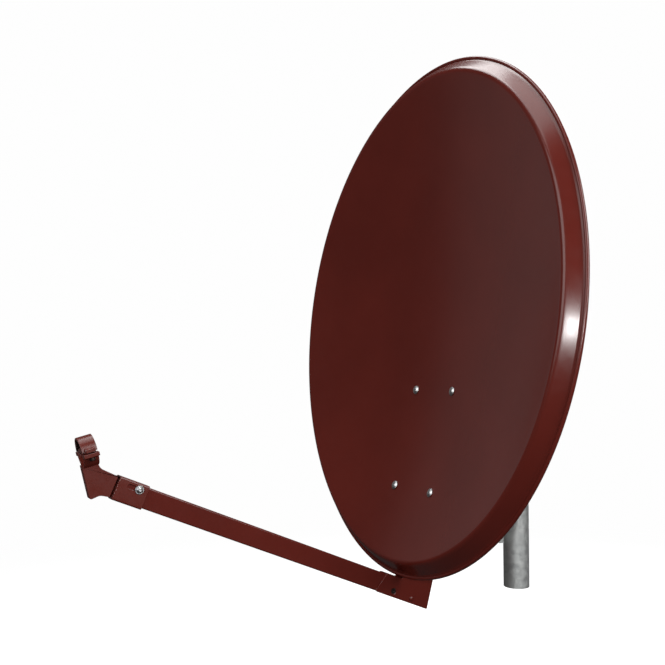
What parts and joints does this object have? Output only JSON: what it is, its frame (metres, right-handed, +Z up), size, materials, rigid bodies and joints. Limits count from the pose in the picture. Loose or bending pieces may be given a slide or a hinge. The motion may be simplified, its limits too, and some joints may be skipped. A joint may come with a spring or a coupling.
{
  "type": "satellite dish",
  "caption": "Offset satellite dish on a mast stub, with tilting channel bracket, fold-down feed arm and a sliding ring clamp for a converter.",
  "frame": {"origin": "centre of the mast stub's lower end, on the mast's axis", "axes": "+Z up along the mast; -Y is the way the dish looks; X runs across the dish, which is symmetric about the YZ plane"},
  "size_m": [0.8498, 0.8475, 0.9786],
  "materials": {
    "powder_coat": "red-brown powder coat, satin, fine orange peel",
    "coated_casting": "red-brown powder coat on a cast body, satin",
    "galvanised_steel": "hot-dip galvanised, dull grey with soft spangle",
    "bright_zinc": "bright zinc plate",
    "dark_screw_steel": "black oxide",
    "black_plastic": "moulded polyethylene, matte"
  },
  "bodies": {
    "mast": {"mast_tube": "galvanised_steel", "mast_lid": "black_plastic"},
    "mast_clamp": {"elevation_lock_bolt": "bright_zinc", "elevation_lock_nut": "bright_zinc", "elevation_lock_spacer": "bright_zinc", "elevation_lock_washer_left": "bright_zinc", "elevation_lock_washer_right": "bright_zinc", "elevation_pivot_bolt": "bright_zinc", "elevation_pivot_nut": "bright_zinc", "elevation_pivot_spacer": "bright_zinc", "elevation_pivot_washer_left": "bright_zinc", "elevation_pivot_washer_right": "bright_zinc", "lower_mast_saddle": "galvanised_steel", "lower_u_bolt": "bright_zinc", "lower_u_bolt_nut_left": "bright_zinc", "lower_u_bolt_nut_right": "bright_zinc", "lower_u_bolt_washer_left": "bright_zinc", "lower_u_bolt_washer_right": "bright_zinc", "mast_bracket": "galvanised_steel", "upper_mast_saddle": "galvanised_steel", "upper_u_bolt": "bright_zinc", "upper_u_bolt_nut_left": "bright_zinc", "upper_u_bolt_nut_right": "bright_zinc", "upper_u_bolt_washer_left": "bright_zinc", "upper_u_bolt_washer_right": "bright_zinc"},
    "dish": {"reflector": "powder_coat", "reflector_bolt_1": "bright_zinc", "reflector_bolt_2": "bright_zinc", "reflector_bolt_3": "bright_zinc", "reflector_bolt_4": "bright_zinc", "reflector_bracket": "powder_coat", "reflector_nut_1": "bright_zinc", "reflector_nut_2": "bright_zinc", "reflector_nut_3": "bright_zinc", "reflector_nut_4": "bright_zinc", "reflector_washer_1": "bright_zinc", "reflector_washer_2": "bright_zinc", "reflector_washer_3": "bright_zinc", "reflector_washer_4": "bright_zinc", "arm_pivot_rivet": "powder_coat", "arm_lock_screw": "dark_screw_steel", "arm_lock_nut": "bright_zinc"},
    "feed_arm": {"feed_arm": "powder_coat", "arm_pivot_sleeve": "bright_zinc", "holder_screw": "bright_zinc", "holder_washer": "bright_zinc", "holder_nut": "bright_zinc"},
    "converter_holder": {"converter_holder": "coated_casting", "clamp_screw_left": "dark_screw_steel", "clamp_screw_right": "dark_screw_steel"},
    "clamp_cap": {"clamp_cap": "coated_casting"}
  },
  "joints": [
    {"name": "azimuth_turn", "type": "hinge", "parent": "mast", "child": "mast_clamp", "pos_m": [0, 0, 0.229], "axis": [0, 0, 1], "continuous": true},
    {"name": "elevation_tilt", "type": "hinge", "parent": "mast_clamp", "child": "dish", "pos_m": [0, -0.1641, 0.28643], "axis": [-1, 0, 0], "range_deg": [-19, 21]},
    {"name": "arm_fold", "type": "hinge", "parent": "dish", "child": "feed_arm", "pos_m": [0, -0.24202, 0.00804], "axis": [1, 0, 0], "range_deg": [0, 90]},
    {"name": "focus_slide", "type": "slide", "parent": "feed_arm", "child": "converter_holder", "axis": [0, -0.9232, 0.3843], "range_m": [-0.0155, 0.004]},
    {"name": "clamp_open", "type": "slide", "parent": "converter_holder", "child": "clamp_cap", "axis": [0, -0.2588, 0.9659], "range_m": [0, 0.004]}
  ]
}
